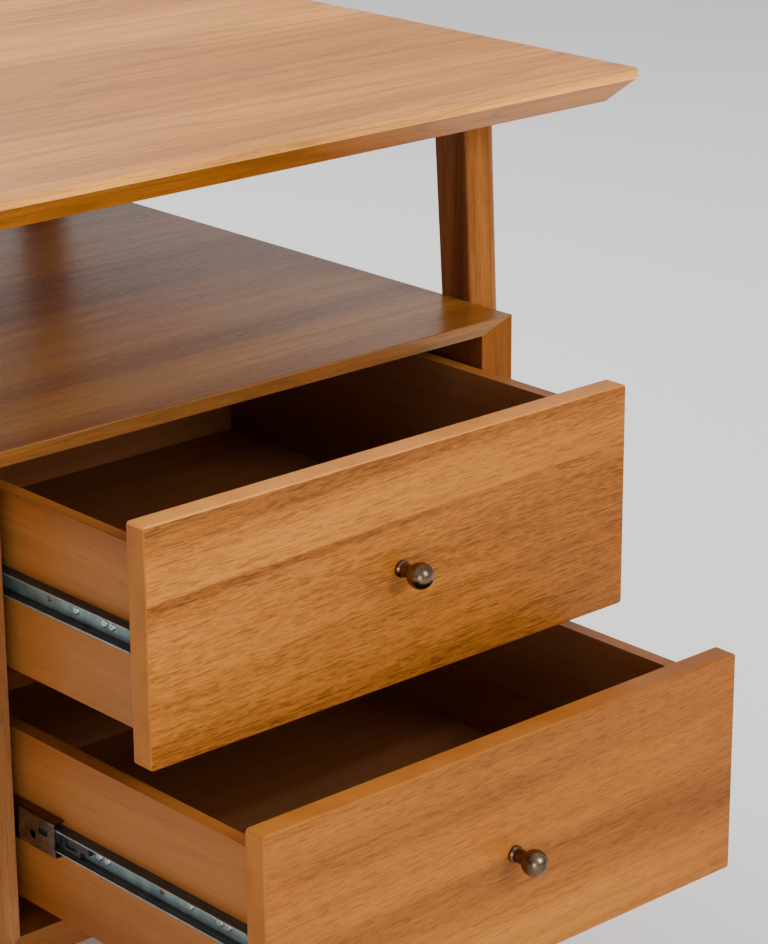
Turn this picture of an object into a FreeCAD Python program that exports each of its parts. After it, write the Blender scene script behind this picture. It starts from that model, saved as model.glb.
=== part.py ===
import FreeCAD, Part
import math
import os

from FreeCAD import Vector

# A corner desk with a two-drawer pedestal under its right-hand end.
# Millimetres, +Z up. The origin is on the floor, below the middle of the worktop's
# outline. The main wing runs along X behind Y = 0; the return comes forward from its
# left-hand end. The drawers open towards -Y, and are modelled part-way open.

# ---- worktop ----
desk_width = 1850.0          # left edge to right edge, along X
desk_length = 1600.0         # back edge to the free end of the return, along Y
desk_height = 762.0          # floor to worktop surface
main_depth = 800.0           # front edge to back edge of the main wing
return_width = 560.0         # left edge to right edge of the return
top_thickness = 27.0
top_band = 6.0               # upright part of the edge, above the underbevel
top_bevel = 20.0             # how far the underbevel runs in under the top
top_arris = 1.2              # eased upper edge
top_corner_radius = 9.0
seam_gap = 0.4               # hairline between the two tops

# ---- pedestal case ----
case_inset = 118.0           # right edge of the top to the outside of the case
case_setback = 29.0          # front edge of the top to the front of the case, same behind
shelf_height = 163.5         # open shelf between the case and the worktop
case_side_thickness = 33.5
case_top_thickness = 11.5
case_bottom_thickness = 24.0
case_back_thickness = 9.0
case_back_inset = 12.0
case_arris = 1.2
rail_height = 18.0           # cross rails behind the drawer fronts
rail_depth = 60.0
rail_gap = 1.5               # behind a closed drawer front
top_rail_setback = 45.0      # behind the front of the case

# ---- drawers ----
front_width = 470.0
front_height = 181.0
front_thickness = 19.0
front_arris = 1.8
front_corner = 3.0           # radius of the four corners, seen from the front
front_side_gap = 3.5         # drawer front to the case side
front_reveal_top = 1.5       # case top to the upper front
front_spacing = 6.0          # between the two fronts
front_reveal_bottom = 3.0    # lower front to the case bottom
drawer_length = 452.0        # back of the front to the outside of the drawer back
drawer_side_thickness = 12.0
drawer_side_drop = 21.0      # top of the front to the top of the drawer sides
drawer_side_height = 139.0
drawer_bottom_thickness = 6.0
drawer_bottom_rise = 10.0    # lower edge of the sides to the bottom panel
groove_depth = 5.0
groove_play = 0.1
upper_opening = 164.5        # how far each drawer stands open
lower_opening = 285.5

# ---- knobs ----
knob_ball_radius = 10.2
knob_ball_reach = 20.5       # front face to the middle of the ball
knob_neck_radius = 5.4
knob_foot_radius = 6.6
knob_foot_height = 2.2
knob_screw_radius = 2.0
knob_screw_bite = 11.0       # how far the screw runs into the knob
knob_screw_head_radius = 4.2
knob_screw_head_height = 2.4

# ---- drawer slides: three nested steel channels and two ball cages a side ----
slide_drop = 88.8            # top of the front to the middle of the slide
slide_width = 13.0           # case side to drawer side
slide_length = 450.0
slide_setback = 2.0          # behind the drawer front
sheet = 1.2                  # steel thickness of the outer and drawer members
thin_sheet = 1.0             # steel thickness of the middle member
outer_half = 18.6            # half heights of the three channels
middle_half = 14.2
inner_half = 9.0
outer_lip = 10.8             # how far each flange reaches from its own web
middle_web_gap = 0.8         # between the outer web and the middle web
middle_lip = 9.2
inner_lip = 9.5
middle_length = 375.0
middle_setback = 95.5        # front of the case to the closed middle member
groove_from = 3.0            # ball groove in the drawer member's flanges, from its web
groove_to = 6.4
groove_dip = 0.6
ball_play = 0.3              # ball to the channel on each side
cage_thickness = 1.4
cage_width = 5.0
balls_per_cage = 4
outer_cage_length = 200.0
inner_cage_length = 140.0
outer_cage_from = 137.0      # closed middle member's cages, behind the slide's front end
inner_cage_from = 192.0
middle_share = 0.5           # share of the drawer's travel that each piece makes
outer_cage_share = 0.25
inner_cage_share = 0.75
lever_from = 185.0           # release lever, behind the drawer front
lever_length = 35.0
lever_height = 13.4
lever_depth = 4.6
member_screw_places = (31.0, 40.0, 73.0, 168.0, 178.0, 330.0, 420.0)
member_window_place = 105.0
member_window_size = 5.0
member_screw_head_radius = 3.3
member_screw_head_height = 1.4
case_screw_places = (37.0, 165.0, 293.0, 421.0)
case_screw_head_radius = 3.6
case_screw_head_height = 0.4
screw_radius = 1.8
screw_bite = 9.0             # into the wood
middle_fold = 2.0            # outside radius of the middle member's folds
middle_hole_places = (27.0, 60.0)
middle_hole_radius = 3.4
middle_slot_place = 14.0     # from the middle member's front end
middle_slot_rise = 3.0       # slot above the slide's middle, and the holes below it
middle_slot_length = 11.0
middle_slot_height = 5.0

# ---- legs and rails ----
leg_width = 36.0             # along X, the same all the way down
leg_top_depth = 38.8         # along Y, under the worktop
leg_foot_depth = 23.6        # along Y, at the foot
leg_inset = 85.5             # edge of the top to the leg's outer face, at the top
leg_splay = 32.0             # how much nearer the edge the foot's outer face is
leg_side_inset = 82.0        # end of the top to the side of a leg that carries no case
leg_outer_radius = 12.0
leg_inner_radius = 2.5
glide_radius = 8.5
glide_height = 4.0
glide_pin_radius = 2.5
glide_pin_length = 14.0
apron_height = 60.0
apron_thickness = 20.0
apron_dowel_radius = 4.0
apron_dowel_bite = 12.0
apron_dowel_spacing = 32.0
leg_bolt_radius = 3.0
leg_bolt_head_radius = 7.0
leg_bolt_head_height = 3.0
leg_bolt_bite = 24.0
leg_bolt_drop = 133.5        # top of each drawer front to the bolts beside that drawer
top_bolt_radius = 4.0
top_bolt_bite = 16.0         # into the worktop
top_bolt_stem = 30.0         # into the leg

# ---- joining plates under the seam ----
plate_length = 130.0
plate_width = 42.0
plate_thickness = 3.0
plate_screw_radius = 2.2
plate_screw_head_radius = 4.2
plate_screw_head_height = 1.6
plate_screw_bite = 14.0
plate_edge = 10.0            # screw centre to the plate's long end
plate_places = (0.3, 0.5, 0.7)     # along the seam, as shares of its length

# ---- places worked out from the sizes above ----
right_edge = desk_width / 2
back_edge = desk_length / 2
front_edge = back_edge - main_depth
return_end = back_edge - desk_length
return_right = return_width - desk_width / 2
top_underside = desk_height - top_thickness

case_right = right_edge - case_inset
opening_right = case_right - case_side_thickness
opening_left = opening_right - front_width - 2 * front_side_gap
case_left = opening_left - case_side_thickness
case_front = front_edge + case_setback
case_back = back_edge - case_setback
case_top_z = top_underside - shelf_height
ceiling_z = case_top_z - case_top_thickness
upper_front_top = ceiling_z - front_reveal_top
lower_front_top = upper_front_top - front_height - front_spacing
case_floor_z = lower_front_top - front_height - front_reveal_bottom
case_bottom_z = case_floor_z - case_bottom_thickness
front_left = opening_left + front_side_gap

box_left = opening_left + slide_width
box_right = opening_right - slide_width


def box(low, high):
    return Part.makeBox(high[0] - low[0], high[1] - low[1], high[2] - low[2], Vector(*low))


def rod(base, direction, radius, length):
    return Part.makeCylinder(radius, length, Vector(*base), Vector(*direction))


def export(name, shape):
    shape.exportStep("parts/" + name + ".step")


def outline(corners, z):
    """A closed wire through corners of (x, y, radius), in order, at height z."""
    ends = []
    edges = []
    count = len(corners)
    for i in range(count):
        x, y, radius = corners[i]
        here = Vector(x, y, z)
        before = (Vector(corners[i - 1][0], corners[i - 1][1], z) - here).normalize()
        after_corner = corners[(i + 1) % count]
        after = (Vector(after_corner[0], after_corner[1], z) - here).normalize()
        first = here + before * radius
        last = here + after * radius
        ends.append((first, last))
        if radius > 0:
            centre = here + (before + after) * radius
            middle = centre + (here - centre).normalize() * radius
            edges.append(Part.Arc(first, middle, last).toShape())
        next_start = Vector(after_corner[0], after_corner[1], z) - after * after_corner[2]
        edges.append(Part.LineSegment(last, next_start).toShape())
    return Part.Wire(edges)


def loft(wires):
    return Part.makeLoft(wires, True, True)


def extrude_along_y(points, start, end):
    """A prism whose section is a list of (x, z) points."""
    corners = [Vector(x, start, z) for x, z in points]
    face = Part.Face(Part.makePolygon(corners + [corners[0]]))
    return face.extrude(Vector(0, end - start, 0))


# ---- worktop ----

def top_outline(inset, radius, z):
    left = -right_edge + inset
    right = right_edge - inset
    back = back_edge - inset
    front = front_edge + inset
    end = return_end + inset
    inner = return_right - inset
    corners = [
        (left, end, radius), (inner, end, radius), (inner, front, 0.0),
        (right, front, radius), (right, back, radius), (left, back, radius),
    ]
    return outline(corners, z)


def whole_top():
    under_radius = top_corner_radius / 3
    return loft([
        top_outline(top_bevel, under_radius, top_underside),
        top_outline(0.0, top_corner_radius, desk_height - top_arris - top_band),
        top_outline(0.0, top_corner_radius, desk_height - top_arris),
        top_outline(top_arris, top_corner_radius - top_arris, desk_height),
    ])


def worktops(fixings):
    whole = whole_top()
    reach = desk_width
    behind = box((-reach, front_edge + seam_gap / 2, 0), (reach, reach, desk_height + 1))
    ahead = box((-reach, -reach, 0), (reach, front_edge - seam_gap / 2, desk_height + 1))
    return whole.common(behind).cut(fixings), whole.common(ahead).cut(fixings)


def plate_centres():
    start = -right_edge
    return [(start + share * return_width, front_edge) for share in plate_places]


def plate_screw_points():
    points = []
    for x, y in plate_centres():
        for side in (-1, 1):
            for across in (-1, 1):
                points.append((x + across * plate_width / 4,
                               y + side * (plate_length / 2 - plate_edge)))
    return points


def joining_plate_screws():
    screws = []
    under = top_underside - plate_thickness
    for x, y in plate_screw_points():
        head = rod((x, y, under), (0, 0, -1), plate_screw_head_radius, plate_screw_head_height)
        stem = rod((x, y, under), (0, 0, 1), plate_screw_radius,
                   plate_thickness + plate_screw_bite)
        screws.append(head.fuse(stem))
    return Part.makeCompound(screws)


def joining_plates(screws):
    plates = []
    for x, y in plate_centres():
        low = (x - plate_width / 2, y - plate_length / 2, top_underside - plate_thickness)
        high = (x + plate_width / 2, y + plate_length / 2, top_underside)
        plates.append(box(low, high).cut(screws))
    return Part.makeCompound(plates)


# ---- legs ----
# Each leg is (name, inner x, outward side, edge y, outward y). Its inner face stands on
# inner x, its rounded side faces outwards, and its foot splays towards edge y.

free_leg_left = -right_edge + leg_side_inset + leg_width
free_leg_right = return_right - leg_side_inset - leg_width

leg_places = (
    ("leg_case_front_right", case_right, 1, front_edge, -1),
    ("leg_case_back_right", case_right, 1, back_edge, 1),
    ("leg_case_front_left", case_left, -1, front_edge, -1),
    ("leg_case_back_left", case_left, -1, back_edge, 1),
    ("leg_corner_back", free_leg_left, -1, back_edge, 1),
    ("leg_corner_inner", free_leg_right, 1, front_edge, -1),
    ("leg_return_outer", free_leg_left, -1, return_end, -1),
    ("leg_return_inner", free_leg_right, 1, return_end, -1),
)


def leg_faces(edge, outward, z):
    """Outer and inner y of a leg at height z."""
    rise = (z - glide_height) / (top_underside - glide_height)
    outer = edge - outward * (leg_inset - leg_splay * (1 - rise))
    depth = leg_foot_depth + (leg_top_depth - leg_foot_depth) * rise
    return outer, outer - outward * depth


def leg_middle(edge, outward, z):
    outer, inner = leg_faces(edge, outward, z)
    return (outer + inner) / 2


def leg_section(inner_x, side, edge, outward, z):
    outer_x = inner_x + side * leg_width
    outer_y, inner_y = leg_faces(edge, outward, z)
    corners = [
        (inner_x, inner_y, leg_inner_radius), (inner_x, outer_y, leg_inner_radius),
        (outer_x, outer_y, min(leg_outer_radius, leg_foot_depth / 2 - 1)),
        (outer_x, inner_y, min(leg_outer_radius, leg_foot_depth / 2 - 1)),
    ]
    return outline(corners, z)


def plain_leg(place):
    name, inner_x, side, edge, outward = place
    return loft([leg_section(inner_x, side, edge, outward, glide_height),
                 leg_section(inner_x, side, edge, outward, top_underside)])


def leg_glides():
    glides = []
    for name, inner_x, side, edge, outward in leg_places:
        x = inner_x + side * leg_width / 2
        y = leg_middle(edge, outward, glide_height)
        disc = rod((x, y, 0), (0, 0, 1), glide_radius, glide_height)
        pin = rod((x, y, glide_height), (0, 0, 1), glide_pin_radius, glide_pin_length)
        glides.append(disc.fuse(pin))
    return Part.makeCompound(glides)


def leg_top_bolts():
    bolts = []
    for name, inner_x, side, edge, outward in leg_places:
        x = inner_x + side * leg_width / 2
        y = leg_middle(edge, outward, top_underside - top_bolt_stem / 2)
        bolts.append(rod((x, y, top_underside - top_bolt_stem), (0, 0, 1),
                         top_bolt_radius, top_bolt_stem + top_bolt_bite))
    return Part.makeCompound(bolts)


def leg_case_bolts():
    """Bolts from inside the case, through its sides, into the four case legs."""
    bolts = []
    for name, inner_x, side, edge, outward in leg_places:
        if not name.startswith("leg_case"):
            continue
        inside = inner_x - side * case_side_thickness
        for z in (upper_front_top - leg_bolt_drop, lower_front_top - leg_bolt_drop):
            y = leg_middle(edge, outward, z)
            head = rod((inside, y, z), (-side, 0, 0), leg_bolt_head_radius,
                       leg_bolt_head_height)
            stem = rod((inside, y, z), (side, 0, 0), leg_bolt_radius,
                       case_side_thickness + leg_bolt_bite)
            bolts.append(head.fuse(stem))
    return Part.makeCompound(bolts)


# ---- aprons ----

def apron_ends(start, end, along_x):
    """Dowels in both ends of an apron, two to an end."""
    dowels = []
    middle_z = top_underside - apron_height / 2
    for point, sense in ((start, 1), (end, -1)):
        for lift in (-1, 1):
            x, y = point
            z = middle_z + lift * apron_dowel_spacing / 2
            way = (sense, 0, 0) if along_x else (0, sense, 0)
            base = (x - way[0] * apron_dowel_bite, y - way[1] * apron_dowel_bite, z)
            dowels.append(rod(base, way, apron_dowel_radius, 2 * apron_dowel_bite))
    return dowels


def apron_lines():
    """Each apron as name, start point, end point, and whether it runs along X."""
    top_z = top_underside - apron_height / 2
    front_y = leg_middle(front_edge, -1, top_z)
    back_y = leg_middle(back_edge, 1, top_z)
    end_y = leg_middle(return_end, -1, top_z)
    outer_x = free_leg_left - leg_width / 2
    inner_x = free_leg_right + leg_width / 2
    end_face = leg_faces(return_end, -1, top_z)[1]
    front_face = leg_faces(front_edge, -1, top_z)[0]
    back_face = leg_faces(back_edge, 1, top_z)[1]
    return (
        ("apron_back", (free_leg_left, back_y), (case_left - leg_width, back_y), True),
        ("apron_front", (free_leg_right + leg_width, front_y),
         (case_left - leg_width, front_y), True),
        ("apron_return_end", (free_leg_left, end_y), (free_leg_right, end_y), True),
        ("apron_left", (outer_x, end_face), (outer_x, back_face), False),
        ("apron_return_inner", (inner_x, end_face), (inner_x, front_face), False),
    )


def apron(line, legs, dowels):
    """One apron, shaped at its ends to the legs that it meets."""
    name, start, end, along_x = line
    half = apron_thickness / 2
    low_z = top_underside - apron_height
    if along_x:
        board = box((start[0], start[1] - half, low_z), (end[0], end[1] + half, top_underside))
    else:
        reach = leg_top_depth / 2
        board = box((start[0] - half, start[1] - reach, low_z),
                    (end[0] + half, end[1] + reach, top_underside))
        board = board.cut(legs)
        board = max(board.Solids, key=lambda solid: solid.Volume)
    return board.cut(dowels)


# ---- pedestal case ----

def case_top():
    board = extrude_along_y([
        (case_left, case_top_z), (case_right, case_top_z),
        (opening_right, ceiling_z), (opening_left, ceiling_z)], case_front, case_back)
    return ease_front(board, case_top_z, case_arris)


def ease_front(board, z, size):
    """Rounds the board's long front edge at height z."""
    edges = [edge for edge in board.Edges
             if abs(edge.BoundBox.ZMin - z) < 0.01 and abs(edge.BoundBox.ZMax - z) < 0.01
             and abs(edge.BoundBox.YMax - case_front) < 0.01 and edge.Length > front_width / 2]
    return board.makeFillet(size, edges)


def case_bottom():
    return extrude_along_y([
        (opening_left, case_floor_z), (opening_right, case_floor_z),
        (case_right, case_bottom_z), (case_left, case_bottom_z)], case_front, case_back)


def case_side(inner, outer, fixings):
    board = extrude_along_y([
        (inner, ceiling_z), (outer, case_top_z), (outer, case_bottom_z),
        (inner, case_floor_z)], case_front, case_back)
    return board.cut(fixings)


def case_back_panel():
    rear = case_back - case_back_inset
    return box((opening_left, rear - case_back_thickness, case_floor_z),
               (opening_right, rear, ceiling_z))


def case_rail(front, top_z):
    return box((opening_left, front, top_z - rail_height),
               (opening_right, front + rail_depth, top_z))


# ---- drawer slides ----
# A slide's section is drawn from the case side towards the drawer side. face is the x of
# the case side's inner face, and side is +1 where the drawer lies towards +X.

slide_sides = ((opening_left, 1), (opening_right, -1))


def channel(face, side, web, lip, half, gauge, start, length, middle_z):
    """A steel channel from its web at one distance from the face to its lips at another."""
    sense = 1 if lip > web else -1
    points = [
        (web, half), (lip, half), (lip, half - gauge), (web + sense * gauge, half - gauge),
        (web + sense * gauge, gauge - half), (lip, gauge - half), (lip, -half), (web, -half),
    ]
    section = [(face + side * away, middle_z + up) for away, up in points]
    return extrude_along_y(section, start, start + length)


def drawer_channel(face, side, start, middle_z):
    """The drawer member: its web lies on the drawer side, with a groove in each flange."""
    gauge = sheet
    half = inner_half
    slope = gauge * 0.5
    upper = [
        (0.0, half), (groove_from, half), (groove_from + slope, half - groove_dip),
        (groove_to - slope, half - groove_dip), (groove_to, half), (inner_lip, half),
        (inner_lip, half - gauge), (groove_to + slope, half - gauge),
        (groove_to, half - gauge - groove_dip), (groove_from, half - gauge - groove_dip),
        (groove_from - slope, half - gauge), (gauge, half - gauge),
    ]
    lower = [(away, -up) for away, up in reversed(upper)]
    section = [(face + side * (slide_width - away), middle_z + up) for away, up in upper + lower]
    return extrude_along_y(section, start, start + slide_length)


def member_screws(front_rear, middle_z):
    """Screws through both drawer members into the drawer sides."""
    screws = []
    for face, side in slide_sides:
        web = face + side * (slide_width - sheet)
        for place in member_screw_places:
            y = front_rear + place
            head = rod((web, y, middle_z), (-side, 0, 0), member_screw_head_radius,
                       member_screw_head_height)
            stem = rod((web, y, middle_z), (side, 0, 0), screw_radius, sheet + screw_bite)
            screws.append(head.fuse(stem))
    return Part.makeCompound(screws)


def drawer_members(front_rear, middle_z, screws):
    members = []
    for face, side in slide_sides:
        start = front_rear + slide_setback
        member = drawer_channel(face, side, start, middle_z).cut(screws)
        half = member_window_size / 2
        web = face + side * slide_width
        window = box((web - 2 * sheet, front_rear + member_window_place - half, middle_z - half),
                     (web + 2 * sheet, front_rear + member_window_place + half, middle_z + half))
        members.append(member.cut(window))
    return Part.makeCompound(members)


def release_levers(front_rear, middle_z):
    """Black plastic levers inside the drawer members, pressed to lift the drawer out."""
    levers = []
    for face, side in slide_sides:
        near = face + side * (slide_width - sheet)
        far = near - side * lever_depth
        start = front_rear + lever_from
        half = lever_height / 2
        tip = lever_length * 0.3
        body = box((min(near, far), start, middle_z - half),
                   (max(near, far), start + lever_length, middle_z + half))
        step = box((min(near, far), start, middle_z - half),
                   (max(near, far), start + tip, middle_z - half * 0.2))
        thinned = far + side * lever_depth * 0.4
        relief = box((min(far, thinned), start + tip * 1.4, middle_z - half * 0.5),
                     (max(far, thinned), start + lever_length - tip * 0.6,
                      middle_z + half * 0.5))
        levers.append(body.cut(step).cut(relief))
    return Part.makeCompound(levers)


def long_edge_at(edge, x, middle_z, up):
    """Whether an edge runs along the slide at x, as far above or below its middle as up."""
    ends = [vertex.Point for vertex in edge.Vertexes]
    return abs(ends[0].y - ends[-1].y) > 1.0 and all(
        abs(point.x - x) < 0.01 and abs(abs(point.z - middle_z) - up) < 0.01
        for point in ends)


def middle_members(travel, middle_z):
    members = []
    web = sheet + middle_web_gap
    start = case_front + middle_setback - middle_share * travel
    for face, side in slide_sides:
        member = channel(face, side, web, web + middle_lip, middle_half, thin_sheet,
                         start, middle_length, middle_z)
        outer_folds = [edge for edge in member.Edges if long_edge_at(edge, face + side * web,
                                                                     middle_z, middle_half)]
        member = member.makeFillet(middle_fold, outer_folds)
        inner_x = face + side * (web + thin_sheet)
        inner_folds = [edge for edge in member.Edges if long_edge_at(
            edge, inner_x, middle_z, middle_half - thin_sheet)]
        member = member.makeFillet(middle_fold - thin_sheet, inner_folds)
        slot_y = start + middle_slot_place
        slot_z = middle_z + middle_slot_rise
        near, far = sorted((face, face + side * (web + 2 * thin_sheet)))
        slot = box((near, slot_y - middle_slot_length / 2, slot_z - middle_slot_height / 2),
                   (far, slot_y + middle_slot_length / 2, slot_z + middle_slot_height / 2))
        member = member.cut(slot)
        for place in middle_hole_places:
            hole = rod((face, start + place, middle_z - middle_slot_rise), (side, 0, 0),
                       middle_hole_radius,
                       web + 2 * thin_sheet)
            member = member.cut(hole)
        members.append(member)
    return Part.makeCompound(members)


def ball_cages(start, length, middle_z, run, reach):
    """Cage strips above and below each slide, with the balls that they hold.

    run holds the heights of the two flanges that the balls roll between, from the slide's
    middle, and reach is how far the balls lie from the case side.
    """
    pieces = []
    run_z = (run[0] + run[1]) / 2
    ball_radius = (run[1] - run[0]) / 2 - ball_play
    pitch = length / balls_per_cage
    for face, side in slide_sides:
        x = face + side * reach
        for up in (-1, 1):
            z = middle_z + up * run_z
            strip = box((x - cage_width / 2, start, z - cage_thickness / 2),
                        (x + cage_width / 2, start + length, z + cage_thickness / 2))
            for i in range(balls_per_cage):
                y = start + pitch * (i + 0.5)
                ball = Part.makeSphere(ball_radius, Vector(x, y, z))
                strip = strip.cut(ball)
                pieces.append(ball)
            pieces.append(strip)
    return Part.makeCompound(pieces)


def case_member_screws(middle_heights):
    screws = []
    start = case_front + front_thickness + slide_setback
    for middle_z in middle_heights:
        for face, side in slide_sides:
            for place in case_screw_places:
                y = start + place
                head = rod((face + side * sheet, y, middle_z), (side, 0, 0),
                           case_screw_head_radius, case_screw_head_height)
                stem = rod((face + side * sheet, y, middle_z), (-side, 0, 0), screw_radius,
                           sheet + screw_bite)
                screws.append(head.fuse(stem))
    return Part.makeCompound(screws)


def case_members(middle_heights, screws):
    members = []
    start = case_front + front_thickness + slide_setback
    for middle_z in middle_heights:
        for face, side in slide_sides:
            member = channel(face, side, 0.0, outer_lip, outer_half, sheet,
                             start, slide_length, middle_z)
            members.append(member.cut(screws))
    return Part.makeCompound(members)


# ---- drawers ----

def knob_shape(x, face_y, z):
    """A turned ball knob on a waisted neck, standing out from the front towards -Y."""
    waist = knob_neck_radius
    meet = math.sqrt(knob_ball_radius ** 2 - waist ** 2)
    tip = knob_ball_reach + knob_ball_radius
    shoulder = knob_ball_reach - meet
    start = Vector(0, 0, 0)
    foot = Vector(knob_foot_radius, 0, 0)
    foot_top = Vector(knob_foot_radius, -knob_foot_height, 0)
    neck = Vector(waist, -knob_foot_height * 1.6, 0)
    join = Vector(waist, -shoulder, 0)
    side = Vector(knob_ball_radius, -knob_ball_reach, 0)
    end = Vector(0, -tip, 0)
    wire = Part.Wire([
        Part.LineSegment(start, foot).toShape(),
        Part.LineSegment(foot, foot_top).toShape(),
        Part.LineSegment(foot_top, neck).toShape(),
        Part.LineSegment(neck, join).toShape(),
        Part.Arc(join, side, end).toShape(),
        Part.LineSegment(end, start).toShape(),
    ])
    turned = Part.Face(wire).revolve(Vector(0, 0, 0), Vector(0, 1, 0), 360)
    turned.translate(Vector(x, face_y, z))
    return turned


def knob_screw(x, face_y, z):
    rear = face_y + front_thickness
    head = rod((x, rear, z), (0, 1, 0), knob_screw_head_radius, knob_screw_head_height)
    stem = rod((x, rear, z), (0, -1, 0), knob_screw_radius, front_thickness + knob_screw_bite)
    return head.fuse(stem)


def drawer_front(face_y, top_z, cutters):
    board = box((front_left, face_y, top_z - front_height),
                (front_left + front_width, face_y + front_thickness, top_z))
    corners = [edge for edge in board.Edges if edge.BoundBox.YLength > front_thickness / 2]
    board = board.makeFillet(front_corner, corners)
    edges = [edge for edge in board.Edges if abs(edge.BoundBox.YMax - face_y) < 0.01]
    board = board.makeFillet(front_arris, edges)
    return board.cut(cutters)


def drawer_side(near, far, rear, low_z, cutters):
    board = box((min(near, far), rear, low_z),
                (max(near, far), rear + drawer_length, low_z + drawer_side_height))
    return board.cut(cutters)


def drawer_bottom_box(rear, low_z, play):
    """The bottom panel, grown by play on each face for the groove that holds it."""
    reach = drawer_side_thickness - groove_depth
    z = low_z + drawer_bottom_rise
    return box((box_left + reach - play, rear - groove_depth - play, z - play),
               (box_right - reach + play, rear + drawer_length + play,
                z + drawer_bottom_thickness + play))


def drawer_back(rear, low_z):
    floor = low_z + drawer_bottom_rise + drawer_bottom_thickness + groove_play
    end = rear + drawer_length
    return box((box_left + drawer_side_thickness, end - drawer_side_thickness, floor),
               (box_right - drawer_side_thickness, end, low_z + drawer_side_height))


def drawer_dowels(rear, low_z):
    """Dowels that join the sides to the front and to the back."""
    dowels = []
    radius = drawer_side_thickness / 4
    bite = drawer_side_thickness
    back_y = rear + drawer_length - drawer_side_thickness / 2
    for x, side in ((box_left, 1), (box_right, -1)):
        middle_x = x + side * drawer_side_thickness / 2
        for share in (0.25, 0.5, 0.75):
            z = low_z + share * drawer_side_height
            if abs(share - 0.5) > 0.1:
                inner_x = x + side * drawer_side_thickness
                dowels.append(rod((inner_x - side * bite * 0.6, back_y, z), (side, 0, 0),
                                  radius, bite * 1.6))
            dowels.append(rod((middle_x, rear - bite, z), (0, 1, 0), radius, 2 * bite))
    return Part.makeCompound(dowels)


def build_drawer(name, opening, top_z):
    """Writes every piece of one drawer and of its moving slide members."""
    face_y = case_front - opening
    rear = face_y + front_thickness
    low_z = top_z - drawer_side_drop - drawer_side_height
    middle_z = top_z - slide_drop
    knob_x = front_left + front_width / 2
    knob_z = top_z - front_height / 2

    screw = knob_screw(knob_x, face_y, knob_z)
    screws = member_screws(rear, middle_z)
    dowels = drawer_dowels(rear, low_z)
    groove = drawer_bottom_box(rear, low_z, groove_play)
    cutters = Part.makeCompound([screw, groove, dowels])

    export(name + "_front", drawer_front(face_y, top_z, cutters))
    for side_name, x, side in (("left", box_left, 1), ("right", box_right, -1)):
        board = drawer_side(x, x + side * drawer_side_thickness, rear, low_z,
                            Part.makeCompound([groove, dowels, screws]))
        export(name + "_side_" + side_name, board)
    export(name + "_back", drawer_back(rear, low_z).cut(dowels))
    export(name + "_bottom", drawer_bottom_box(rear, low_z, 0.0))
    export(name + "_dowels", dowels)
    export(name + "_knob", knob_shape(knob_x, face_y, knob_z).cut(screw))
    export(name + "_knob_screw", screw)
    export(name + "_slide_screws", screws)
    export(name + "_slide_inner_members", drawer_members(rear, middle_z, screws))
    export(name + "_release_levers", release_levers(rear, middle_z))
    export(name + "_slide_middle_members", middle_members(opening, middle_z))

    slide_front = case_front + front_thickness + slide_setback
    groove_reach = slide_width - (groove_from + groove_to) / 2
    outer_run = (middle_half, outer_half - sheet)
    inner_run = (inner_half - groove_dip, middle_half - thin_sheet)
    outer_start = slide_front + outer_cage_from - outer_cage_share * opening
    inner_start = slide_front + inner_cage_from - inner_cage_share * opening
    export(name + "_outer_ball_cages",
           ball_cages(outer_start, outer_cage_length, middle_z, outer_run, groove_reach))
    export(name + "_inner_ball_cages",
           ball_cages(inner_start, inner_cage_length, middle_z, inner_run, groove_reach))
    return middle_z


def build_case(middle_heights):
    bolts = leg_case_bolts()
    screws = case_member_screws(middle_heights)
    fixings = Part.makeCompound([bolts, screws])
    export("case_top", case_top())
    export("case_bottom", case_bottom())
    export("case_side_left", case_side(opening_left, case_left, fixings))
    export("case_side_right", case_side(opening_right, case_right, fixings))
    export("case_back", case_back_panel())
    export("case_rail_top", case_rail(case_front + top_rail_setback, ceiling_z))
    middle_rail_top = upper_front_top - drawer_side_drop - drawer_side_height - 2 * rail_gap
    middle_rail_front = case_front + front_thickness + rail_gap
    export("case_rail_middle", case_rail(middle_rail_front, middle_rail_top))
    export("case_leg_bolts", bolts)
    export("case_slide_screws", screws)
    export("case_slide_members", case_members(middle_heights, screws))


def build_frame():
    glides = leg_glides()
    top_bolts = leg_top_bolts()
    plate_screws = joining_plate_screws()
    main_top, return_top = worktops(Part.makeCompound([top_bolts, plate_screws]))
    export("worktop_main", main_top)
    export("worktop_return", return_top)
    export("joining_plates", joining_plates(plate_screws))
    export("joining_plate_screws", plate_screws)
    export("leg_top_bolts", top_bolts)
    export("leg_glides", glides)

    lines = apron_lines()
    dowels = Part.makeCompound([dowel for line in lines
                                for dowel in apron_ends(line[1], line[2], line[3])])
    export("apron_dowels", dowels)
    plain_legs = [plain_leg(place) for place in leg_places]
    all_legs = Part.makeCompound(plain_legs)
    fixings = Part.makeCompound([glides, top_bolts, leg_case_bolts(), dowels])
    for place, leg in zip(leg_places, plain_legs):
        export(place[0], leg.cut(fixings))
    for line in lines:
        export(line[0], apron(line, all_legs, dowels))


os.makedirs("parts", exist_ok=True)
slide_heights = [build_drawer("upper_drawer", upper_opening, upper_front_top),
                 build_drawer("lower_drawer", lower_opening, lower_front_top)]
build_case(slide_heights)
build_frame()
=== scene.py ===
import math

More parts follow.
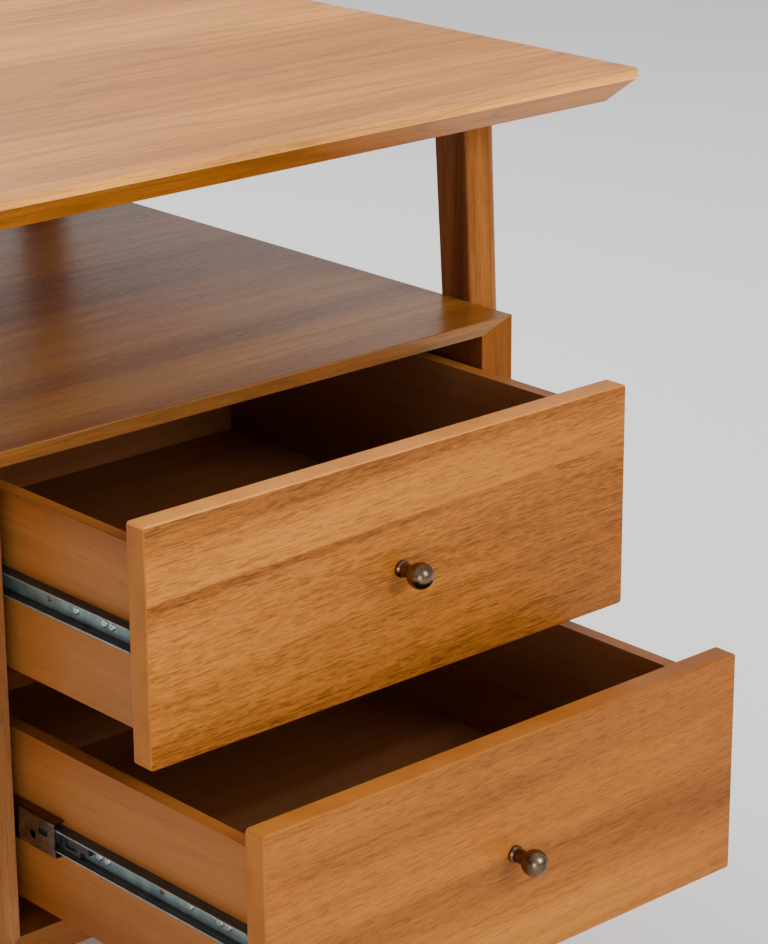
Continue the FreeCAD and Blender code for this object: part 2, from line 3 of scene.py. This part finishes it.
import bmesh
import bpy
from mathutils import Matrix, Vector


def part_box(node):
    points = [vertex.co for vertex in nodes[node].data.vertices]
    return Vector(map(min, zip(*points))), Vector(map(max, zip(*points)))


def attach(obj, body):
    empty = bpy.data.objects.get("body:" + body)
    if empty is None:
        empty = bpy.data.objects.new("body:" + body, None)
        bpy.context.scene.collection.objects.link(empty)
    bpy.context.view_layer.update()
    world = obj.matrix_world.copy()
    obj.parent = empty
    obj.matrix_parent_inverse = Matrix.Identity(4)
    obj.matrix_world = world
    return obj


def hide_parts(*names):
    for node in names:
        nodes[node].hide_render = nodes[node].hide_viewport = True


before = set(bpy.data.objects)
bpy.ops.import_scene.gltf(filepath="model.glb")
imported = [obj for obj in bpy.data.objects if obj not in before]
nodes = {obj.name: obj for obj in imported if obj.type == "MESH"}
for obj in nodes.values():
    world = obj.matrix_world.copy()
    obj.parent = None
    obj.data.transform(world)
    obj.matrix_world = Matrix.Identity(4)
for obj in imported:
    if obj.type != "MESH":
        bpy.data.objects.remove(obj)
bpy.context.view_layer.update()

# ---------------------------------------------------------------------------
# The studio: a pale floor that runs out of sight, three soft boxes and an even grey
# room. The camera stands in front of the return and looks down on the open drawers.
# ---------------------------------------------------------------------------
camera_data = bpy.data.cameras.new("camera")
camera_data.lens = 117.4
camera_data.clip_end = 100.0
camera = bpy.data.objects.new("camera", camera_data)
camera.location = (-0.8792, -1.6919, 1.2798)
camera.rotation_euler = [math.radians(turn) for turn in (70.687, 0.294, -42.027)]
bpy.context.scene.collection.objects.link(camera)
bpy.context.scene.camera = camera


def soft_box(name, place, target, width, power, colour):
    """A square studio light at place, turned towards target."""
    light = bpy.data.lights.new(name, "AREA")
    light.shape = "SQUARE"
    light.size = width
    light.energy = power
    light.color = colour
    lamp = bpy.data.objects.new(name, light)
    lamp.location = place
    aim = Vector(target) - Vector(place)
    lamp.rotation_euler = aim.to_track_quat("-Z", "Y").to_euler()
    bpy.context.scene.collection.objects.link(lamp)


soft_box("key_light", (1.2, -3.3, 2.3), (0.4, -0.1, 0.5), 1.6, 84.0, (1.0, 0.96, 0.9))
soft_box("top_light", (0.8, 2.3, 3.2), (0.4, 0.3, 0.6), 2.6, 120.0, (1.0, 0.97, 0.92))
soft_box("side_light", (-2.3, -2.9, 0.75), (0.3, -0.1, 0.45), 1.5, 42.0, (1.0, 0.97, 0.93))

room = bpy.data.worlds.new("grey_room")
room.use_nodes = True
walls = room.node_tree.nodes["Background"]
walls.inputs["Color"].default_value = (0.80, 0.80, 0.81, 1.0)
walls.inputs["Strength"].default_value = 0.87
bpy.context.scene.world = room

floor_mesh = bpy.data.meshes.new("studio_floor")
sheet = bmesh.new()
bmesh.ops.create_grid(sheet, x_segments=8, y_segments=8, size=40.0)
sheet.to_mesh(floor_mesh)
sheet.free()
studio_floor = bpy.data.objects.new("studio_floor", floor_mesh)
bpy.context.scene.collection.objects.link(studio_floor)
floor_paint = bpy.data.materials.new("floor_paint")
floor_paint.use_nodes = True
floor_shader = floor_paint.node_tree.nodes["Principled BSDF"]
floor_shader.inputs["Base Color"].default_value = (0.93, 0.93, 0.94, 1.0)
floor_shader.inputs["Roughness"].default_value = 0.85
floor_mesh.materials.append(floor_paint)


# ---------------------------------------------------------------------------
# The worktops: two boards faced with a plain-sawn hardwood veneer and oiled, with their
# edges cut back underneath to a deep underbevel. They meet at a hairline seam, and steel
# plates and screws below hold them together.
# ---------------------------------------------------------------------------
def put(tree, kind, **inputs):
    """A new node with its inputs set to values or joined to other nodes' outputs."""
    made = tree.nodes.new(kind)
    for name, value in inputs.items():
        socket = made.inputs[name.replace("_", " ")]
        if isinstance(value, bpy.types.NodeSocket):
            tree.links.new(value, socket)
        else:
            socket.default_value = value
    return made


def grain_noise(tree, place, stretch, detail=2.0, wander=0.0, spot=(0.0, 0.0, 0.0)):
    """Noise drawn out along the grain: stretch is its cycles a metre along and across."""
    along, across = stretch
    drawn = put(tree, "ShaderNodeMapping", Vector=place, Location=spot,
                Scale=(along, across, across))
    speckle = put(tree, "ShaderNodeTexNoise", Vector=drawn.outputs["Vector"], Scale=1.0,
                  Detail=detail, Roughness=0.55, Distortion=wander)
    return speckle.outputs["Fac"]


def ramp(tree, value, *stops):
    """A colour ramp through (place, colour) stops; a plain number stands for a grey."""
    made = put(tree, "ShaderNodeValToRGB", Fac=value)
    points = made.color_ramp.elements
    while len(points) < len(stops):
        points.new(0.5)
    for point, (place, colour) in zip(points, stops):
        point.position = place
        point.color = (*colour, 1.0) if isinstance(colour, tuple) else (colour,) * 3 + (1.0,)
    return made.outputs["Color"]


def blend(tree, how, share, first, second):
    """Mixes two colours in the named way."""
    made = tree.nodes.new("ShaderNodeMix")
    made.data_type = "RGBA"
    made.blend_type = how
    for socket, value in ((made.inputs[0], share), (made.inputs[6], first),
                          (made.inputs[7], second)):
        if isinstance(value, bpy.types.NodeSocket):
            tree.links.new(value, socket)
        else:
            socket.default_value = value
    return made.outputs[2]


def near_edge(tree, where, name, axes, width):
    """1 within width of the named node's sides on the given axes, and 0 further in."""
    low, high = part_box(name)
    parts = put(tree, "ShaderNodeSeparateXYZ", Vector=where)
    share = None
    for axis in axes:
        index = "XYZ".index(axis)
        away = tree.nodes.new("ShaderNodeMath")
        away.operation = "SUBTRACT"
        tree.links.new(parts.outputs[axis], away.inputs[0])
        away.inputs[1].default_value = (low[index] + high[index]) / 2
        size = tree.nodes.new("ShaderNodeMath")
        size.operation = "ABSOLUTE"
        tree.links.new(away.outputs[0], size.inputs[0])
        outer = tree.nodes.new("ShaderNodeMath")
        outer.operation = "GREATER_THAN"
        tree.links.new(size.outputs[0], outer.inputs[0])
        outer.inputs[1].default_value = (high[index] - low[index]) / 2 - width
        both = tree.nodes.new("ShaderNodeMath")
        both.operation = "MAXIMUM"
        tree.links.new(outer.outputs[0], both.inputs[0])
        if share is None:
            both.inputs[1].default_value = 0.0
        else:
            tree.links.new(share, both.inputs[1])
        share = both.outputs[0]
    return share


def paint_facing_light(tree, colour, axis, sign, tint):
    """Paints light and shade: multiplies the colour by tint on the faces that look along one
    axis.

    It sets in where the face's normal leans 0.2 that way, and is full at 0.5.
    """
    normal = put(tree, "ShaderNodeNewGeometry").outputs["Normal"]
    along = put(tree, "ShaderNodeSeparateXYZ", Vector=normal).outputs[axis]
    share = put(tree, "ShaderNodeMapRange", Value=along)
    share.inputs["From Min"].default_value = 0.2 * sign
    share.inputs["From Max"].default_value = 0.5 * sign
    tinted = blend(tree, "MULTIPLY", 1.0, colour, (*tint, 1.0))
    return blend(tree, "MIX", share.outputs["Result"], colour, tinted)


# The turn that lays the grain along each axis of the desk.
GRAIN_TURNS = {"x": (0.0, 0.0, 0.0), "y": (0.0, 0.0, math.radians(-90)),
               "z": (0.0, math.radians(90), 0.0)}


def oiled_wood(name, dark, middle, pale, grain, spot=(0.0, 0.0, 0.0), lean=0.0, bands=9.0,
               figure=0.5, pores=0.35, contrast=1.0, gloss=(0.26, 0.4), shine=0.25,
               light_and_shade_tints=(), lip=None, zones=(), painted_shade_fade=None):
    """Oiled hardwood with its grain along one axis of the desk.

    Broad bands of colour carry growth lines, finer streaks, short rippled flecks in the
    paler bands, and dark pores. spot is where in the log the board was cut, and lean the
    grain's slant in degrees. bands is how many colour bands there are in a metre, figure
    and pores how strong the flecks and pores are, and gloss the least and most roughness.

    tints paint light and shade: each one recolours the faces that look one way. lip is the
    node, axes and width of a solid lipping. zones are heights up a board and its tone there,
    from 0 for dark to
    1 for pale. fade paints shade: it gives where along X the colour starts to be darkened,
    where it ends, and the tint it reaches.
    """
    finish = bpy.data.materials.new(name)
    finish.use_nodes = True
    tree = finish.node_tree
    shader = tree.nodes["Principled BSDF"]
    where = put(tree, "ShaderNodeTexCoord").outputs["Object"]
    turned = put(tree, "ShaderNodeMapping", Vector=where,
                 Rotation=GRAIN_TURNS[grain]).outputs["Vector"]
    leaning = put(tree, "ShaderNodeMapping", Vector=turned,
                  Rotation=(0.0, math.radians(lean), 0.0)).outputs["Vector"]
    band = grain_noise(tree, leaning, (0.7, bands), 2.0, 0.2, spot)
    streak = grain_noise(tree, leaning, (3.2, 110.0), 5.0, 0.4, spot)
    fibre = grain_noise(tree, leaning, (16.0, 620.0), 3.0, 0.0, spot)
    fleck = grain_noise(tree, leaning, (90.0, 620.0), 2.0, 0.5, spot)
    pore = grain_noise(tree, leaning, (70.0, 950.0), 1.0, 0.0, spot)
    if zones:
        foot, head = zones[0][0], zones[-1][0]
        up = put(tree, "ShaderNodeSeparateXYZ", Vector=leaning).outputs["Z"]
        span = put(tree, "ShaderNodeMapRange", Value=up)
        span.inputs["From Min"].default_value = foot
        span.inputs["From Max"].default_value = head
        tone = ramp(tree, span.outputs["Result"],
                    *(((height - foot) / (head - foot), level) for height, level in zones))
        zone_share = 0.6
        band = blend(tree, "MIX", zone_share, band, tone)

    def deep(*stops):
        return [(place, 1.0 + contrast * (tone - 1.0)) for place, tone in stops]

    spread = 0.07
    colour = ramp(tree, band, (0.5 - spread, dark), (0.5, middle), (0.5 + spread, pale))
    ring_count = 17.0
    wavy = put(tree, "ShaderNodeMapRange", Value=band)
    wavy.inputs["To Max"].default_value = ring_count
    rings = tree.nodes.new("ShaderNodeMath")
    rings.operation = "PINGPONG"
    tree.links.new(wavy.outputs["Result"], rings.inputs[0])
    rings.inputs[1].default_value = 0.5
    colour = blend(tree, "MULTIPLY", 1.0, colour,
                   ramp(tree, rings.outputs[0], *deep((0.0, 0.76), (0.1, 0.98), (0.5, 1.04))))
    colour = blend(tree, "MULTIPLY", 1.0, colour,
                   ramp(tree, streak, *deep((0.37, 0.8), (0.48, 0.98), (0.62, 1.09))))
    colour = blend(tree, "MULTIPLY", 1.0, colour,
                   ramp(tree, fibre, *deep((0.38, 0.82), (0.5, 1.0), (0.62, 1.1))))
    rippled = ramp(tree, fleck, (0.44, 0.0), (0.58, 1.0))
    in_pale_bands = ramp(tree, band, (0.48, 0.3 * figure), (0.55, figure))
    fleck_share = blend(tree, "MULTIPLY", 1.0, rippled, in_pale_bands)
    fleck_colour = (*(1.15 * part for part in pale), 1.0)
    colour = blend(tree, "MIX", fleck_share, colour, fleck_colour)
    open_pore = blend(tree, "MULTIPLY", 1.0, ramp(tree, pore, (0.56, 0.0), (0.64, pores)),
                      ramp(tree, band, (0.46, 1.0), (0.52, 0.5)))
    pore_colour = (*(0.4 * part for part in dark), 1.0)
    colour = blend(tree, "MIX", open_pore, colour, pore_colour)
    if lip:
        solid = near_edge(tree, where, *lip)
        cloud = put(tree, "ShaderNodeTexNoise", Vector=where, Scale=34.0, Detail=4.0)
        half_pale = tuple(0.5 * (a + b) for a, b in zip(middle, pale))
        plain = ramp(tree, cloud.outputs["Fac"], (0.35, middle), (0.65, half_pale))
        colour = blend(tree, "MIX", solid, colour, plain)
    # Painted light and shade: recolours the faces that look one way.
    for axis, sign, tint in light_and_shade_tints:
        colour = paint_facing_light(tree, colour, axis, sign, tint)
    # Painted shade: darkens the colour along X.
    if painted_shade_fade:
        start, end, tint = painted_shade_fade
        across = put(tree, "ShaderNodeSeparateXYZ", Vector=where).outputs["X"]
        reach = put(tree, "ShaderNodeMapRange", Value=across)
        reach.inputs["From Min"].default_value = start
        reach.inputs["From Max"].default_value = end
        colour = blend(tree, "MULTIPLY", 1.0, colour,
                       ramp(tree, reach.outputs["Result"], (0.0, 1.0), (1.0, tint)))
    tree.links.new(colour, shader.inputs["Base Color"])
    sheen = put(tree, "ShaderNodeMapRange", Value=streak)
    sheen.inputs["To Min"].default_value = gloss[1]
    sheen.inputs["To Max"].default_value = gloss[0]
    tree.links.new(sheen.outputs["Result"], shader.inputs["Roughness"])
    relief = blend(tree, "MULTIPLY", 1.0, ramp(tree, fibre, (0.3, 0.6), (0.7, 1.0)),
                   ramp(tree, pore, (0.57, 1.0), (0.66, 0.2)))
    bump = put(tree, "ShaderNodeBump", Height=relief, Strength=0.25, Distance=0.0004)
    tree.links.new(bump.outputs["Normal"], shader.inputs["Normal"])
    shader.inputs["Specular IOR Level"].default_value = shine
    shader.inputs["Specular Tint"].default_value = (1.0, 0.8, 0.52, 1.0)
    return finish


def dress(finish, *names):
    """Gives CAD nodes a finish in all their material slots."""
    for name in names:
        for slot in nodes[name].material_slots:
            slot.material = finish


TOP_DARK = (0.52, 0.178, 0.022)
TOP_MIDDLE = (0.62, 0.228, 0.032)
TOP_PALE = (0.70, 0.272, 0.042)
# Painted light and shade: the tints make the worktops' front edges paler and darken their
# underbevels.
for spot, name in (((0.3, 0.7, 0.0), "worktop_main"), ((2.1, 1.9, 0.4), "worktop_return")):
    dress(oiled_wood(name + "_veneer", TOP_DARK, TOP_MIDDLE, TOP_PALE, "x", spot, bands=7.0,
                     figure=0.1, pores=0.4, gloss=(0.32, 0.46),
                     light_and_shade_tints=(("Y", -1, (1.35, 1.6, 2.5)),
                            ("Z", -1, (0.45, 0.33, 0.16)))), name)


# ---------------------------------------------------------------------------
# The legs and aprons: solid hardwood, planed to a taper, rounded on the outer side and
# splayed towards the front and back. The aprons are doweled between them and bolts pull
# the legs up to the worktops.
# ---------------------------------------------------------------------------
LEG_DARK = (0.17, 0.045, 0.006)
LEG_MIDDLE = (0.25, 0.075, 0.010)
LEG_PALE = (0.32, 0.105, 0.017)
leg_names = sorted(name for name in nodes
                   if name.startswith(("leg_case", "leg_corner", "leg_return")))
# Painted shade: the tint darkens the legs' left-facing faces.
for count, name in enumerate(leg_names):
    dress(oiled_wood(name + "_wood", LEG_DARK, LEG_MIDDLE, LEG_PALE, "z",
                     (0.37 * count, 0.81 * count, 0.29 * count), bands=24.0, figure=0.2,
                     shine=0.15, light_and_shade_tints=(("X", -1, (0.72, 0.78, 1.8)),)), name)
for count, (name, grain) in enumerate((("apron_back", "x"), ("apron_front", "x"),
                                       ("apron_return_end", "x"), ("apron_left", "y"),
                                       ("apron_return_inner", "y"))):
    dress(oiled_wood(name + "_wood", LEG_DARK, LEG_MIDDLE, LEG_PALE, grain,
                     (1.3 + 0.41 * count, 0.57 * count, 0.9), bands=18.0, figure=0.2), name)
dress(oiled_wood("beech_dowel", (0.42, 0.27, 0.13), (0.5, 0.33, 0.17), (0.58, 0.4, 0.22),
                 "x", bands=30.0, gloss=(0.45, 0.6)), "apron_dowels")


# ---------------------------------------------------------------------------
# The drawer case: four veneered boards mitred at the corners and hung between the legs,
# with a thinner back panel let in behind and two cross rails behind the drawer fronts.
# ---------------------------------------------------------------------------
CASE_DARK = (0.26, 0.088, 0.012)
CASE_MIDDLE = (0.34, 0.130, 0.020)
CASE_PALE = (0.41, 0.170, 0.030)
# Painted light and shade: the tints make the front edges of the top and left side paler, and
# darken the front edges of the bottom and right side and the right side's inner face.
for count, (name, grain, shine, light_and_shade_tints) in enumerate((
        ("case_top", "x", 0.7, (("Y", -1, (0.95, 1.0, 1.6)),)),
        ("case_bottom", "x", 0.3, (("Y", -1, (0.8, 0.7, 0.5)),)),
        ("case_side_left", "z", 0.15, (("Y", -1, (1.1, 1.18, 2.6)),)),
        ("case_side_right", "z", 0.1, (("Y", -1, (0.58, 0.42, 0.3)),
                                       ("X", -1, (0.5, 0.36, 0.4)))))):
    dress(oiled_wood(name + "_veneer", CASE_DARK, CASE_MIDDLE, CASE_PALE, grain,
                     (0.6 + 0.53 * count, 0.27 * count, 0.4), bands=8.0, figure=0.1,
                     contrast=0.7, gloss=(0.2, 0.34), shine=shine, light_and_shade_tints=light_and_shade_tints), name)
for count, name in enumerate(("case_back", "case_rail_top", "case_rail_middle")):
    dress(oiled_wood(name + "_wood", (0.11, 0.034, 0.006), (0.16, 0.052, 0.01),
                     (0.22, 0.08, 0.018), "x", (0.2 + count, 0.5, 0.1 * count), bands=10.0,
                     figure=0.1), name)


# ---------------------------------------------------------------------------
# The drawer fronts: thick veneered boards with their edges lipped and just broken. The
# grain rises a little to the right, with a paler rippled band along the upper one's top.
# Painted shade darkens them towards the right-hand end, and painted light brightens the
# upper one's top face.
# ---------------------------------------------------------------------------
FRONT_DARK = (0.265, 0.08, 0.014)
FRONT_MIDDLE = (0.39, 0.128, 0.02)
FRONT_PALE = (0.54, 0.20, 0.032)
# Painted shade: the fronts are darkened from this far in from the left-hand end to the
# right-hand end, down to this tint.
SHADE_FADE_START = 0.1
PAINTED_SHADE_TINT = (0.74, 0.68, 0.60)
LIPPING = 0.0009


def front_veneer(node, spot, bands, figure, pores, contrast, light_and_shade_tints, zones):
    """Veneer for one drawer front; zones are heights above the front's lower edge."""
    low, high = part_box(node)
    return oiled_wood(node.replace("_drawer", "") + "_veneer", FRONT_DARK, FRONT_MIDDLE,
                      FRONT_PALE, "x", spot, lean=1.7, bands=bands, figure=figure,
                      pores=pores, contrast=contrast, shine=0.15, light_and_shade_tints=light_and_shade_tints,
                      lip=(node, "XZ", LIPPING),
                      zones=[(low[2] + height, tone) for height, tone in zones],
                      painted_shade_fade=(low[0] + SHADE_FADE_START, high[0], PAINTED_SHADE_TINT))


# Painted light: the tint brightens the upper front's top face.
dress(front_veneer("upper_drawer_front", (0.15, 0.3, 0.05), 11.0, 0.75, 0.7, 1.0,
                   (("Z", 1, (1.9, 2.2, 3.0)),),
                   ((-0.0275, 0.42), (0.0425, 0.44), (0.0565, 0.50), (0.1055, 0.49),
                    (0.112, 0.43), (0.1145, 0.60), (0.1345, 0.58), (0.1525, 0.51),
                    (0.1745, 0.52))), "upper_drawer_front")
dress(front_veneer("lower_drawer_front", (1.15, 0.9, 0.45), 9.0, 0.4, 0.5, 0.7, (),
                   ((-0.0605, 0.50), (0.0595, 0.51), (0.0995, 0.52), (0.1495, 0.53))),
      "lower_drawer_front")


# ---------------------------------------------------------------------------
# The drawer boxes: thin hardwood sides and back, doweled together, round a bottom panel
# let into a groove. They are stained to match and left smoother than the fronts.
# ---------------------------------------------------------------------------
BOX_DARK = (0.28, 0.084, 0.016)
BOX_MIDDLE = (0.35, 0.116, 0.024)
BOX_PALE = (0.41, 0.148, 0.034)
# Painted shade: this tint darkens the faces inside each drawer box, the inner faces of sides
# and back and the bottom's top.
PAINTED_INSIDE_SHADE = (0.72, 0.76, 1.2)
for count, drawer in enumerate(("upper_drawer", "lower_drawer")):
    for part, grain, shaded_inner_face in (("side_left", "y", ("X", 1, PAINTED_INSIDE_SHADE)),
                                    ("side_right", "y", ("X", -1, PAINTED_INSIDE_SHADE)),
                                    ("back", "x", ("Y", -1, PAINTED_INSIDE_SHADE)),
                                    ("bottom", "x", ("Z", 1, PAINTED_INSIDE_SHADE))):
        dress(oiled_wood(drawer + "_" + part + "_wood", BOX_DARK, BOX_MIDDLE, BOX_PALE,
                         grain, (0.7 * len(part), 1.1 * count, 0.3), bands=6.0,
                         figure=0.05, pores=0.16, contrast=0.4, gloss=(0.34, 0.46),
                         light_and_shade_tints=(shaded_inner_face,)), drawer + "_" + part)
    dress(bpy.data.materials["beech_dowel"], drawer + "_dowels")


# ---------------------------------------------------------------------------
# The knobs: turned brass, darkened to an antique bronze and lacquered, each on a waisted
# neck. One screw from inside the drawer holds it.
# ---------------------------------------------------------------------------
def worn_metal(name, dark, bright, grain, roughness, relief=0.05, metal=1.0, light_and_shade_tints=()):
    """Metal with cloudy patches and fine scratches in its colour and its roughness."""
    finish = bpy.data.materials.new(name)
    finish.use_nodes = True
    tree = finish.node_tree
    shader = tree.nodes["Principled BSDF"]
    where = put(tree, "ShaderNodeTexCoord").outputs["Object"]
    cloud = put(tree, "ShaderNodeTexNoise", Vector=where, Scale=90.0, Detail=4.0)
    scratch = put(tree, "ShaderNodeMapping", Vector=where, Scale=grain)
    fine = put(tree, "ShaderNodeTexNoise", Vector=scratch.outputs["Vector"], Scale=1.0,
               Detail=3.0)
    colour = ramp(tree, cloud.outputs["Fac"], (0.35, dark), (0.65, bright))
    colour = blend(tree, "MULTIPLY", 1.0, colour,
                   ramp(tree, fine.outputs["Fac"], (0.35, 0.86), (0.65, 1.04)))
    # Painted light and shade: recolours the faces that look one way.
    for axis, sign, tint in light_and_shade_tints:
        colour = paint_facing_light(tree, colour, axis, sign, tint)
    tree.links.new(colour, shader.inputs["Base Color"])
    dull = put(tree, "ShaderNodeMapRange", Value=fine.outputs["Fac"])
    dull.inputs["To Min"].default_value = roughness[0]
    dull.inputs["To Max"].default_value = roughness[1]
    tree.links.new(dull.outputs["Result"], shader.inputs["Roughness"])
    bump = put(tree, "ShaderNodeBump", Height=fine.outputs["Fac"], Strength=relief,
               Distance=0.0002)
    tree.links.new(bump.outputs["Normal"], shader.inputs["Normal"])
    shader.inputs["Metallic"].default_value = metal
    return finish


antique_bronze = worn_metal("antique_bronze", (0.10, 0.062, 0.036), (0.24, 0.165, 0.11),
                            (300.0, 900.0, 300.0), (0.16, 0.36))
dress(antique_bronze, "upper_drawer_knob", "lower_drawer_knob")


# ---------------------------------------------------------------------------
# The drawer slides: steel channels nested in one another on rows of balls, zinc-plated
# but for the duller middle ones, whose brown cast is painted reflection of the wood. The
# outer ones are screwed to the case and the inner ones to the drawers. The screws, bolts
# and joining plates are plated steel too. Painted shade darkens the upward faces of the
# slide members and joining plates.
# ---------------------------------------------------------------------------
# Painted shade: the tint darkens and warms the upward faces of the zinc-plated members and
# plates.
zinc_plate = worn_metal("zinc_plate", (0.19, 0.275, 0.28), (0.30, 0.40, 0.405),
                        (500.0, 60.0, 500.0), (0.34, 0.48), metal=0.6,
                        light_and_shade_tints=(("Z", 1, (0.3, 0.22, 0.19)),))
# Darker steel, with painted reflection: the brown cast stands in for reflected wood, and the
# tint darkens the upward faces further.
dull_plate = worn_metal("dull_plate", (0.12, 0.095, 0.08), (0.25, 0.21, 0.185),
                        (500.0, 60.0, 500.0), (0.18, 0.32),
                        light_and_shade_tints=(("Z", 1, (0.75, 0.6, 0.5)),))
bright_steel = worn_metal("bright_steel", (0.55, 0.55, 0.56), (0.72, 0.72, 0.73),
                          (400.0, 400.0, 400.0), (0.15, 0.3))
screw_steel = worn_metal("screw_steel", (0.45, 0.47, 0.49), (0.66, 0.68, 0.7),
                         (600.0, 600.0, 600.0), (0.2, 0.4))
for drawer in ("upper_drawer", "lower_drawer"):
    dress(zinc_plate, drawer + "_slide_inner_members")
    dress(dull_plate, drawer + "_slide_middle_members")
    dress(bright_steel, drawer + "_outer_ball_cages", drawer + "_inner_ball_cages")
    dress(screw_steel, drawer + "_slide_screws", drawer + "_knob_screw")
dress(zinc_plate, "case_slide_members", "joining_plates")
dress(screw_steel, "case_slide_screws", "case_leg_bolts", "leg_top_bolts",
      "joining_plate_screws")


# ---------------------------------------------------------------------------
# The slide screws: zinc-plated steel with a low pan head and a cross recess, pressed and
# thread-rolled. They hold each inner slide member to its drawer side.
# ---------------------------------------------------------------------------
HEAD_RADIUS = 0.0033
HEAD_HEIGHT = 0.0014
SHANK_RADIUS = 0.0018
SHANK_LENGTH = 0.0102
SCREW_FACETS = 32
SCREW_PLACES = (0.031, 0.040, 0.073, 0.168, 0.178, 0.330, 0.420)  # behind the front


def cross_screw(mesh, at, way):
    """Adds a screw: at is the middle of its head's top, and way the head's side along X.

    Its outline runs as (radius, height) from the point to the middle of the head, and the
    cross recess is sunk into the head as the outline is turned.
    """
    outline = [(0.3 * SHANK_RADIUS, -SHANK_LENGTH), (SHANK_RADIUS, -0.8 * SHANK_LENGTH),
               (SHANK_RADIUS, 0.0), (HEAD_RADIUS, 0.0), (HEAD_RADIUS, 0.35 * HEAD_HEIGHT),
               (0.88 * HEAD_RADIUS, 0.8 * HEAD_HEIGHT)]
    outline += [(share * HEAD_RADIUS, HEAD_HEIGHT)
                for share in (0.64, 0.55, 0.5, 0.4, 0.3, 0.2, 0.1)]
    arm_half_width, arm_reach = 0.11 * HEAD_RADIUS, 0.52 * HEAD_RADIUS
    recess_depth, recess_foot = 0.75 * HEAD_HEIGHT, 0.7 * HEAD_RADIUS
    rings = []
    for radius, up in outline:
        ring = []
        for step in range(SCREW_FACETS):
            turn = 2 * math.pi * step / SCREW_FACETS
            across, over = radius * math.cos(turn), radius * math.sin(turn)
            in_arm = min(abs(across), abs(over)) < arm_half_width and radius < arm_reach
            sunk = recess_depth * (1.0 - radius / recess_foot) if in_arm else 0.0
            ring.append(mesh.verts.new((at[0] + way * (up - HEAD_HEIGHT - sunk),
                                        at[1] + across, at[2] + over)))
        rings.append(ring)
    for near, far in zip(rings, rings[1:]):
        for step in range(SCREW_FACETS):
            after = (step + 1) % SCREW_FACETS
            mesh.faces.new((near[step], near[after], far[after], far[step]))
    mesh.faces.new(rings[0])
    mesh.faces.new(rings[-1])


for drawer in ("upper_drawer", "lower_drawer"):
    (low_x, _, low_z), (high_x, _, high_z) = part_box(drawer + "_slide_screws")
    front_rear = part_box(drawer + "_front")[1][1]
    mesh = bmesh.new()
    for place in SCREW_PLACES:
        for x, way in ((low_x, -1), (high_x, 1)):
            cross_screw(mesh, (x, front_rear + place, (low_z + high_z) / 2), way)
    bmesh.ops.recalc_face_normals(mesh, faces=mesh.faces)
    screw_mesh = bpy.data.meshes.new(drawer + "_cross_screws")
    mesh.to_mesh(screw_mesh)
    mesh.free()
    screw_mesh.materials.append(screw_steel)
    screws = bpy.data.objects.new(drawer + "_cross_screws", screw_mesh)
    bpy.context.collection.objects.link(screws)
    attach(screws, drawer)
    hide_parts(drawer + "_slide_screws")


# ---------------------------------------------------------------------------
# The release levers and leg glides: moulded black plastic with a fine spark-eroded grain.
# Each lever is sprung against the inner slide member and frees it when it is lifted.
# ---------------------------------------------------------------------------
black_plastic = bpy.data.materials.new("black_plastic")
black_plastic.use_nodes = True
lever_tree = black_plastic.node_tree
lever_shader = lever_tree.nodes["Principled BSDF"]
lever_place = put(lever_tree, "ShaderNodeTexCoord").outputs["Object"]
lever_grit = put(lever_tree, "ShaderNodeTexNoise", Vector=lever_place, Scale=900.0, Detail=3.0)
lever_tree.links.new(ramp(lever_tree, lever_grit.outputs["Fac"], (0.3, 0.012), (0.7, 0.03)),
                     lever_shader.inputs["Base Color"])
lever_bump = put(lever_tree, "ShaderNodeBump", Height=lever_grit.outputs["Fac"],
                 Strength=0.3, Distance=0.0002)
lever_tree.links.new(lever_bump.outputs["Normal"], lever_shader.inputs["Normal"])
lever_shader.inputs["Roughness"].default_value = 0.42
dress(black_plastic, "upper_drawer_release_levers", "lower_drawer_release_levers",
      "leg_glides")
